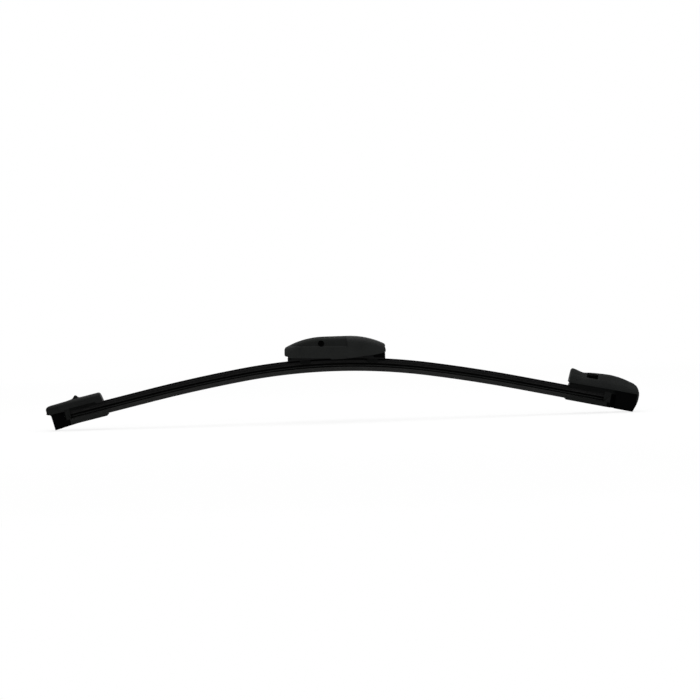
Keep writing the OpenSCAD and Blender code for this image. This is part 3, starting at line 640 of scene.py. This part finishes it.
# %% The hood's form
HOOD_BACK, HOOD_FRONT, HOOD_HALF, HOOD_WALL, SHOULDER_R = -37.4, 38.2, 9.5, 1.3, 5.0
CREST_Z = CAP_Z + 16.2
FLAT_FROM, FLAT_TO, NOSE_R, FRONT_R = -8.0, 10.0, 61.0, 60.0
NOSE_TURN, NOSE_TURN_RUN, FRONT_TURN, FRONT_TURN_RUN = 1.2, 0.9, 1.4, 1.0
SHOULDER_STEPS = 12
OUTSIDE, OVERHEAD = 12, 40
STEP_CUT_TOP, SLOT_CUT_TOP = CAP_Z + 20, CAP_Z + 30
RING_DEPTH = 30.0
PLAN = [(-37.4, 4.8), (-37.1, 5.9), (-36.2, 7.1), (-34.7, 8.1), (-32.4, 8.8), (-29.0, 9.3),
        (-25.0, 9.5), (27.2, 9.5), (31.2, 9.35), (34.7, 9.0), (37.0, 8.6), (38.2, 8.1), (40.0, 7.8)]


def between(table, x):
    """The value of a table of points at x, on straight lines between them."""
    x = min(max(x, table[0][0]), table[-1][0])
    for (x_a, v_a), (x_b, v_b) in zip(table, table[1:]):
        if x <= x_b:
            return v_a + (v_b - v_a) * (x - x_a) / (x_b - x_a)


def crest(x):
    """Height of the hood's crest, with its front and nose edges turned down."""
    z = CREST_Z
    if x < FLAT_FROM:
        z = CREST_Z - NOSE_R + math.sqrt(NOSE_R ** 2 - (x - FLAT_FROM) ** 2)
    if x > FLAT_TO:
        z = CREST_Z - FRONT_R + math.sqrt(FRONT_R ** 2 - (x - FLAT_TO) ** 2)
    z -= NOSE_TURN * (max(HOOD_BACK + NOSE_TURN_RUN - x, 0) / NOSE_TURN_RUN) ** 2
    return z - FRONT_TURN * (max(x - HOOD_FRONT + FRONT_TURN_RUN, 0) / FRONT_TURN_RUN) ** 2


def shouldered(half, radius):
    """A ring with rounded shoulders, its top at height 0."""
    turn = [math.radians(90 - 90 * i / SHOULDER_STEPS) for i in range(SHOULDER_STEPS + 1)]
    return both_sides([(half, -RING_DEPTH)] + [(half - radius + radius * math.sin(a),
                                               -radius + radius * math.cos(a)) for a in turn])


hood_x = sorted({x for x, _ in PLAN[:-1]} | {HOOD_BACK + 0.1, HOOD_BACK + 0.6, HOOD_BACK + 0.9,
                                             HOOD_FRONT - 0.6, HOOD_FRONT - 0.3}
                | {float(x) for x in range(-35, 38, 2)})


def hood_loft(name, inset=0.0, lift=0.0):
    """The hood's form, set in from its plan, with its top lifted."""
    half = HOOD_HALF - inset
    return loft(name, shouldered(half, SHOULDER_R - inset), [
        (x, crest(x) + lift, min(between(PLAN, x) - inset, half) / half, 1) for x in hood_x])


hood = hood_loft("domed_hood")
print("stations along the hood:", len(hood_x))

# %% The hood's lower edge and the step round its flanks
FAR_BACK, FAR_FRONT = -45, 45
hood_low = [(x, CAP_Z + z) for x, z in (
    (FAR_BACK, 4.1), (HOOD_BACK, 4.1), (HOOD_BACK + 0.2, 3.3), (HOOD_BACK + 0.7, 2.8),
    (HOOD_BACK + 2.4, 2.5), (HOOD_BACK + 2.8, 1.5), (-3, 0.4), (-2.6, -0.4), (6, -0.3),
    (11.2, 0.1), (17, 0.75), (23.7, 1.5), (29.9, 2.1), (HOOD_FRONT - 4, 2.85),
    (HOOD_FRONT - 2.4, 3.15), (HOOD_FRONT - 1.5, 3.4), (HOOD_FRONT - 0.5, 3.8),
    (HOOD_FRONT, 4.3), (FAR_FRONT, 4.3))]
carve(hood, slab("hood_side", hood_low + [(FAR_FRONT, OVERHEAD), (FAR_BACK, OVERHEAD)],
                 -OUTSIDE, OUTSIDE), "INTERSECT")
STEP_FROM, STEP_BACK_Z, STEP_FRONT_Z = HOOD_BACK + 4, CAP_Z + 9.7, CAP_Z + 8.5
for inset, lower, step_to in ((0.8, -0.7, FLAT_TO - 0.7), (0.4, 0.1, FLAT_TO - 0.3)):
    step = slab("step_band", [(STEP_FROM, STEP_BACK_Z - lower), (step_to, STEP_FRONT_Z - lower),
                              (step_to, STEP_CUT_TOP), (STEP_FROM, STEP_CUT_TOP)],
                -OUTSIDE, OUTSIDE)
    carve(step, hood_loft("step_core", inset, lift=0.3))
    carve(hood, step)
print("faces of the stepped hood:", len(hood.data.polygons))

# %% The hood's hollow, arm slot and pin bore
INSIDE_FROM = HOOD_BACK + HOOD_WALL


def hollow(name, half, radius, top_limit):
    """The form of the hood's inside, from behind its nose to beyond its open front."""
    spans = [x for x in hood_x if INSIDE_FROM < x < HOOD_FRONT - 1]
    return loft(name, shouldered(half, radius), [
        (x, min(crest(x) - HOOD_WALL, top_limit), min(between(PLAN, x) - HOOD_WALL, half) / half, 1)
        for x in [INSIDE_FROM] + spans] + [
        (HOOD_FRONT + 2, min(crest(HOOD_FRONT - 2) - HOOD_WALL - 0.4, top_limit),
         (between(PLAN, HOOD_FRONT) - HOOD_WALL) / half, 1)])


carve(hood, hollow("upper_hollow", 7.6, 3.0, OVERHEAD))
carve(hood, hollow("skirt_hollow", 8.2, 1.0, RIVET_Z))
SLOT_BACK, SLOT_FRONT, SLOT_HALF = -31, FLAT_TO - 1.1, 4.9
carve(hood, block("arm_slot", (SLOT_BACK, -SLOT_HALF, CAP_Z + 9),
                  (SLOT_FRONT, SLOT_HALF, SLOT_CUT_TOP)))
deselect_all()
bpy.ops.mesh.primitive_cylinder_add(vertices=64, radius=PIN_R * MM, depth=10 * MM,
                                    location=(PIN_X * MM, -9 * MM, PIN_Z * MM),
                                    rotation=(math.pi / 2, 0, 0))
carve(hood, bpy.context.object)
round_edges(hood, 0.3, 3)
settle(hood, TO_MIDDLE)


def hood_look(middle, height):
    """Painted shade in the step round the upper flanks, and a painted highlight along the step's
    lower edge.
    """
    fall = (STEP_BACK_Z - STEP_FRONT_Z) / (FLAT_TO - 0.5 - STEP_FROM)
    edge = STEP_BACK_Z - fall * (middle.x - STEP_FROM)
    if not STEP_FROM - 1 < middle.x < FLAT_TO - 0.5 or middle.z < edge - 0.25:
        return 0
    return 1 if middle.z > edge + 0.72 else 2


finish_piece(hood, "hood", "adapter", "hood_plastic", hood_finish, step_painted_shade, ledge_painted_highlight,
             choose=hood_look)

# %% [markdown]
# A clip slides over each end of the strip: a shell above, two thin jaws below and an open window
# between them, where the rubber and the rails show. A snap nub stands on the shell for the end
# cover. One function draws both, and the second is turned over to the other end. The left one's
# jaws and tail hang lower, and the right one's pillar stands a little further out.

# %% Sizes of the end clips
MOUTH, PILLAR, TAIL, NUB = HALF_RUN - 32, HALF_RUN - 5.2, HALF_RUN + 8.5, HALF_RUN - 11
CLIP_TOP, CLIP_HALF, SKIRT_HALF = CAP_Z + 6.9, 6.2, 7.2
SHELL_LOW, JAW_TOP, RAIL_OUT = CAP_Z - 0.5, EDGE_Z + 2.7, 5.26
BEFORE, BEYOND, BELOW = MOUTH - 2, TAIL + 10, EDGE_Z - 6
JAW_REACH = 0.7


def trim_sides(piece, half, x_a, x_b, z_a, z_b):
    """Cuts both sides of a piece down to a half width."""
    for y_a, y_b in ((half, half + 5), (-half - 5, -half)):
        carve(piece, block("trim", (x_a, y_a, z_a), (x_b, y_b, z_b)))


print("clip from mouth to tail, mm:", round(TAIL + 4.4 - MOUTH, 1))


# %% One end clip
def clip_side(reach, drop, tail_out):
    """The clip seen from the side: mouth, nub, tail and the jaws' lower edge."""
    low = EDGE_Z - reach
    mouth = [(0.2, low + 0.5), (1.3, CAP_Z), (1.9, CAP_Z + 3.6), (2.5, CAP_Z + 5.9),
             (3.1, CAP_Z + 6.6), (4.2, CLIP_TOP), (14.5, CLIP_TOP - 0.1)]
    nub = [(-3.4, 0), (-2.4, 0.2), (-1.7, 0.8), (-1.1, 1.7), (-0.5, 2.2), (0, 2.3), (0.5, 2.2),
           (1.2, 1.5), (2, 0.7), (3, 0.2), (4.5, -0.1), (8, -0.5)]
    tail = [(0.5, CLIP_TOP - 0.9), (2.5, CLIP_TOP - 1.15), (3.2, CLIP_TOP - 1.6),
            (4.0, CLIP_TOP - 3.2), (4.4, CAP_Z + 0.9), (4.1, CAP_Z + 0.3), (2.8, CAP_Z - 0.2)]
    tail_low = [(1.2, CAP_Z - 0.7), (0.6, CAP_Z - 1.3), (0.3, CAP_Z - 6), (0, low - drop)]
    jaw = [(TAIL - 4, low - 0.8 * drop), (TAIL - 10, low - 0.35 * drop), (PILLAR - 4, low),
           (MOUTH + 0.6, low)]
    return ([(MOUTH + x, z) for x, z in mouth] + [(NUB + x, CLIP_TOP + z) for x, z in nub]
            + [(TAIL + x, z) for x, z in tail] + [(TAIL + x + tail_out, z) for x, z in tail_low]
            + jaw)


def clip(name, reach, drop, tail_out, pillar, black_from, low_black_from):
    """One end clip, drawn along the curve's length."""
    piece = slab(name, clip_side(reach, drop, tail_out), -SKIRT_HALF - 1, SKIRT_HALF + 1)
    section = both_sides([
        (SKIRT_HALF, EDGE_Z - 3), (SKIRT_HALF, EDGE_Z), (CLIP_HALF + 0.35, JAW_TOP - 0.5),
        (CLIP_HALF, JAW_TOP), (CLIP_HALF, CLIP_TOP - 2.6), (CLIP_HALF - 0.3, CLIP_TOP - 1.7),
        (CLIP_HALF - 1.0, CLIP_TOP - 0.8), (CLIP_HALF - 2.0, CLIP_TOP - 0.25),
        (CLIP_HALF - 3.2, CLIP_TOP + 0.02), (1.3, CLIP_TOP + 0.03), (1.3, CLIP_TOP + 3)])
    carve(piece, straight_run("clip_section", section, BEFORE, TAIL + 6), "INTERSECT")
    plan = both_flanks([(BEFORE, SKIRT_HALF + 1), (TAIL + 2, SKIRT_HALF + 1), (TAIL + 4.4, 4.0)])
    carve(piece, upright("clip_plan", plan, BELOW, CLIP_TOP + 5), "INTERSECT")
    for half, x_a, x_b, z_a, z_b in (
            (CLIP_HALF - 0.6, pillar - 1, black_from, JAW_TOP, SHELL_LOW + 1.2),
            (CLIP_HALF - 0.9, black_from, BEYOND, JAW_TOP + 0.2, CAP_Z - 0.4),
            (CLIP_HALF - 0.25, low_black_from, BEYOND, BELOW, JAW_TOP + 0.2),
            (CLIP_HALF - 0.15, MOUTH + 7, pillar - 0.2, SHELL_LOW, CAP_Z + 1.0),
            (3, max(black_from, HALF_RUN) + 0.8, BEYOND, BELOW, CAP_Z - 0.4),
            (CLIP_HALF - 1, HALF_RUN + 2.7, BEYOND, BELOW, CAP_Z + 4.15)):
        trim_sides(piece, half, x_a, x_b, z_a, z_b)
    window = [(BEFORE, JAW_TOP), (pillar - 0.5, JAW_TOP), (pillar, JAW_TOP + 0.5),
              (pillar, SHELL_LOW + 0.8), (pillar - 0.4, SHELL_LOW + 1.2),
              (MOUTH + 9, SHELL_LOW + 1.2), (MOUTH + 5.5, SHELL_LOW), (BEFORE, SHELL_LOW)]
    carve(piece, slab("window", window, RAIL_OUT, SKIRT_HALF + 2))
    carve(piece, slab("window", window, -SKIRT_HALF - 2, -RAIL_OUT))
    carve(piece, block("window_through", (BEFORE, -RAIL_OUT - 0.9, JAW_TOP),
                       (pillar, RAIL_OUT + 0.9, SLOT_TOP)))
    channel = both_sides([
        (5.5, BELOW), (5.5, SLOT_LOW - 1.2), (4.95, SLOT_LOW - 0.9), (4.35, SLOT_LOW - 0.35),
        (4.35, SLOT_LOW - 0.06), (RAIL_OUT, SLOT_LOW - 0.06), (RAIL_OUT, SLOT_TOP + 0.06),
        (2.7, SLOT_TOP + 0.06), (2.7, CAP_Z + 0.1)])
    carve(piece, straight_run("channel", channel, BEFORE, HALF_RUN + 0.1))
    carve(piece, block("socket", (MOUTH + 6, -CLIP_HALF + 1.3, CAP_Z + 1.3),
                       (BEYOND, CLIP_HALF - 1.3, CAP_Z + 4.6)))
    round_edges(piece, 0.22)
    return piece


# %% Both clips in their places
END_X = BEND_END[0] - STRAIGHT_FROM * math.cos(END_SLOPE)
END_DROP = BEND_END[1] + STRAIGHT_FROM * math.sin(END_SLOPE)


def along_curve(middle):
    """Distance of a spot on a straight end from the blade's middle, along the curve."""
    return ((abs(middle.x) - END_X) * math.cos(END_SLOPE)
            - (middle.z - END_DROP) * math.sin(END_SLOPE))


for side, name, reach, drop, tail_out, pillar, black_from, low_black_from in (
        (1, "end_clip_right", JAW_REACH, 0.0, 0.0, PILLAR + 1.7, HALF_RUN + 1.6, HALF_RUN - 0.6),
        (-1, "end_clip_left", 1.4, 1.3, 0.8, PILLAR + 0.5, HALF_RUN - 0.9, PILLAR + 1.6)):

    def clip_look(middle, height):
        """Painted shade: black behind the pillar, darker on the right clip, the left pillar and the
        left shell's lower strip; plain elsewhere.
        """
        run = along_curve(middle)
        if run > black_from - 0.05 and height < CAP_Z - 0.3:
            return 3
        if run > low_black_from - 0.05 and height < JAW_TOP + 0.25:
            return 3
        if side > 0:
            return 2 if height > SLOT_TOP - 0.5 else 1
        if height < SLOT_TOP and run > pillar - 0.5:
            return 1
        return 2 if SLOT_TOP - 0.5 < height < CAP_Z + 1.05 and MOUTH + 6.9 < run < pillar else 0

    piece = clip("forked_" + name, reach, drop, tail_out, pillar, black_from, low_black_from)
    settle(piece, to_end(side))
    finish_piece(piece, name, "blade", "clip_plastic", clip_finish, dim_painted_shade, shade_finish,
                 black_painted_shade, choose=clip_look)

# %% [markdown]
# The end cover slides over the right clip until the nub snaps into its slot. Its back edge stands
# up as a fin, dips into a saddle and rises again, and its nose is closed. Below the flanks the nose
# is set in. The loft carries the fin's rounded ridge: the shoulder stays level and the ridge above
# it follows the crest.

# %% The end cover's form
COVER_FROM, NOSE, FIN_TOP = MOUTH + 0.8, HALF_RUN + 22.4, CAP_Z + 12.9
COVER_IN, COVER_WALL, FIN_WALL, SHOULDER = 6.35, 1.25, 0.75, CAP_Z + 3.9
COVER_HALF = COVER_IN + COVER_WALL
NOSE_HALF, FLANK_LOW, NOSE_TAPER = COVER_HALF - 1.2, CAP_Z + 3.0, 5.2
RIDGE_RISE = 9.4
ridge = [(0.0, -1.8), (0.15, -0.9), (0.5, -0.25), (0.9, 0.1), (1.4, 0.25), (2.6, 0.12),
         (4.3, -0.22), (5.8, -0.65), (7.4, -1.05), (8.8, -1.34), (10.0, -1.48), (11.6, -1.28),
         (13.6, -0.9), (15.7, -0.62), (17.9, -0.4), (20.2, -0.18), (22.4, 0.0), (24.7, 0.17),
         (26.9, 0.3), (30.0, 0.38), (33.1, 0.2), (36.2, -0.1), (39.3, -0.6), (41.0, -0.95),
         (42.5, -1.3), (44.1, -1.7), (45.7, -2.1), (47.3, -2.53), (48.9, -3.0)]


def nose_plan(half, x):
    """Half width of the cover, which is rounded over the last millimetres before its nose."""
    over = min(max((x - NOSE + NOSE_TAPER) / NOSE_TAPER, 0), 1)
    return half - 4 + 4 * math.sqrt(1 - over * over)


def cover_ring(half):
    """The cover's cross-section, from its shoulder to the ridge."""
    return both_sides([(half, -RING_DEPTH), (half, 0.0), (half - 0.1, 0.55), (half - 0.3, 1.1),
                       (half - 0.65, 2.3), (half - 1.1, 3.4), (half - 1.75, 4.6), (half - 2.6, 5.7),
                       (half - 3.4, 7.0), (half - 4.3, 8.2), (half - 4.8, 8.75), (half - 5.4, 9.15),
                       (half - 5.9, 9.34), (half - 6.2, RIDGE_RISE)])


def cover_loft(name, half, lower, x_from, x_to):
    """The cover's form, its ridge lowered and its sides set in."""
    stations = []
    for run, z in ridge:
        x = COVER_FROM + run
        if x_from < x < x_to:
            stations.append((x, SHOULDER, 1, (FIN_TOP + z - lower - SHOULDER) / RIDGE_RISE))
    first, last = stations[0], stations[-1]
    stations = [(x_from, SHOULDER, 1, first[3])] + stations
    for share in (0.25, 0.5, 0.7, 0.85, 0.95, 1.0):
        x = last[0] + (x_to - last[0]) * share
        stations.append((x, SHOULDER, nose_plan(half, x) / half,
                         last[3] * (1 - 0.75 * share ** 2)))
    return loft(name, cover_ring(half), stations)


cover = cover_loft("finned_cover", COVER_HALF, 0, COVER_FROM, NOSE)
print("cover from fin to nose, mm:", round(NOSE - COVER_FROM, 1))

# %% The end cover's edges, hollow and slot
cover_side = [
    (COVER_FROM - 0.5, FLANK_LOW - 0.4), (COVER_FROM - 0.5, OVERHEAD), (NOSE - 5.4, OVERHEAD),
    (NOSE - 5.2, FIN_TOP - 3.0), (NOSE - 4.2, FIN_TOP - 3.45), (NOSE - 3.3, FIN_TOP - 4.0),
    (NOSE - 2.6, FIN_TOP - 4.7), (NOSE - 1.9, FIN_TOP - 5.6), (NOSE - 1.2, FIN_TOP - 6.9),
    (NOSE - 0.6, FIN_TOP - 8.5), (NOSE - 0.15, FIN_TOP - 10.2), (NOSE, CAP_Z + 1.0),
    (NOSE - 0.1, CAP_Z - 1.0), (NOSE - 0.5, CAP_Z - 3.0), (NOSE - 1.0, CAP_Z - 5.0),
    (NOSE - 1.7, CAP_Z - 6.9), (NOSE - 3.0, EDGE_Z - JAW_REACH),
    (HALF_RUN + 5.6, EDGE_Z - JAW_REACH), (HALF_RUN + 5, CAP_Z + 1),
    (HALF_RUN + 4.2, CAP_Z + 2.1), (HALF_RUN + 3.4, CAP_Z + 2.5),
    (HALF_RUN + 2.6, FLANK_LOW - 0.2), (HALF_RUN, FLANK_LOW)]
carve(cover, slab("cover_side", cover_side, -OUTSIDE, OUTSIDE), "INTERSECT")
trim_sides(cover, NOSE_HALF, HALF_RUN + 3, NOSE - 1.6, EDGE_Z - 4, FLANK_LOW)
inside = cover_loft("cover_hollow", COVER_IN, COVER_WALL + 0.2, COVER_FROM + FIN_WALL,
                    NOSE - COVER_WALL - 0.4)
for y_a, y_b in ((5.4, 20), (-20, -5.4)):
    carve(inside, block("nose_floor", (HALF_RUN + 3, y_a, EDGE_Z - 30), (NOSE, y_b, FLANK_LOW + 1)))
carve(inside, slab("nose_back", [
    (NOSE - 3.6, EDGE_Z - 30), (NOSE - 1.7, CAP_Z), (NOSE - 1.7, CAP_Z + 1),
    (NOSE - 3.5, FIN_TOP - 7), (NOSE + 3, FIN_TOP), (NOSE + 3, EDGE_Z - 30)], -OUTSIDE, OUTSIDE))
carve(cover, inside)
NUB_SLOT = ((NUB - 7.73, -OUTSIDE, CAP_Z + 8.4), (NUB + 0.67, -1.3, CAP_Z + 11.9))
carve(cover, block("nub_slot", *NUB_SLOT))
round_edges(cover, 0.3, 3)
settle(cover, to_end(1))


def cover_look(middle, height):
    """Black painted shade where the nose is set in under the flanks."""
    return int(HALF_RUN + 3 < along_curve(middle) < NOSE - 1.5 and height < FLANK_LOW
               and abs(middle.y) < NOSE_HALF + 0.05)


finish_piece(cover, "end_cover", "blade", "cover_plastic", cover_finish, black_painted_shade,
             choose=cover_look)

# %% [markdown]
# The rails, the base, the adapter and the rivet are plain technical forms, and the measured solids
# already have their shape. They only lack the small round on each edge, so a copy of each solid is
# merged, its flat faces are joined again, and its edges are rounded.

# %% Rails, adapter and rivet
def softened_copy(node, name, width, from_angle=25.0):
    """A copy of a solid with flat faces joined and edges rounded."""
    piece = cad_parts[node].copy()
    piece.data = piece.data.copy()
    piece.name = name
    piece.parent = None
    bpy.context.scene.collection.objects.link(piece)
    make_active(piece)
    bpy.ops.object.mode_set(mode="EDIT")
    bpy.ops.mesh.select_all(action="SELECT")
    bpy.ops.mesh.remove_doubles(threshold=0.002 * MM)
    bpy.ops.mesh.dissolve_limited(angle_limit=math.radians(0.3))
    bpy.ops.object.mode_set(mode="OBJECT")
    return round_edges(piece, width, 2, from_angle)


for node, name, width, body, slot, finish in (
        ("rail_front", "spring_rail_front", 0.15, "blade", "rail_steel", rail_finish),
        ("rail_rear", "spring_rail_rear", 0.15, "blade", "rail_steel", rail_finish),
        ("pivot_rivet", "plated_rivet", 0.2, "blade", "rivet_steel", rivet_finish),
        ("arm_adapter", "hook_adapter", 0.2, "adapter", "adapter_plastic", adapter_finish)):
    finish_piece(softened_copy(node, name, width), node, body, slot, finish)

# %% [markdown]
# The base gets two small things more on each side: a filling that joins its rear wall with the pad
# beside it, and a thin strip along its front foot, which catches the light over the strip's cap.
# Both follow the base's plan.

# %% The base
def join_pad(piece, side, outline, plan):
    """Joins an X-Z outline to a piece, kept to an X-Y plan on one side of it."""
    pad = slab("pad", outline, -PAD_SIDE, PAD_SIDE)
    keep = upright("pad_plan", [(x, y * side) for x, y in plan], -PLAN_REACH, PLAN_REACH)
    carve(piece, carve(pad, keep, "INTERSECT"), "UNION")


BASE_BACK, PAD_SIDE, PLAN_REACH = -35.1, 8, 10
CORNER = [(BASE_BACK, CAP_Z - 1.1), (-30, CAP_Z - 0.8), (-30, CAP_Z + 1.2),
          (BASE_BACK, CAP_Z + 1.25)]
CORNER_PLAN = [(-35.2, 3.0), (-35.2, 3.5), (-34, 4.9), (-32, 6.0), (-30, 6.5), (-30, 5.2),
               (-33, 3.0)]
FOOT_X, FOOT_RISE = (22, 26, 30, 34, 37.4), 0.9
FOOT = [(x, CAP_Z - x * x / (2 * MID_R)) for x in FOOT_X] + [
    (x, CAP_Z + FOOT_RISE - x * x / (2 * MID_R)) for x in reversed(FOOT_X)]
FOOT_PLAN = [(21, 7.0), (29, 7.0), (33.9, 6.5), (38, 6.1), (38, 6.57), (33.9, 7.0), (29, 7.5),
             (21, 7.5)]
base = softened_copy("base", "moulded_base", 0.18)
settle(base, TO_MIDDLE.inverted())
for side in (-1, 1):
    join_pad(base, side, CORNER, CORNER_PLAN)
    join_pad(base, side, FOOT, FOOT_PLAN)
settle(base, TO_MIDDLE)


def base_look(middle, height):
    """Claws in the clips' shaded finish, the plain finish round the deck, and black painted shade
    inside above it.
    """
    if height < CAP_Z - 0.6:
        return 2
    return int(height > CAP_Z + (0.95 if middle.x > 20 else 1.5))


finish_piece(base, "base", "blade", "base_plastic", base_finish, black_painted_shade, shade_finish,
             choose=base_look)

# %% [markdown]
# Last, the render is set to the Standard view transform.

bpy.context.scene.view_settings.view_transform = "Standard"
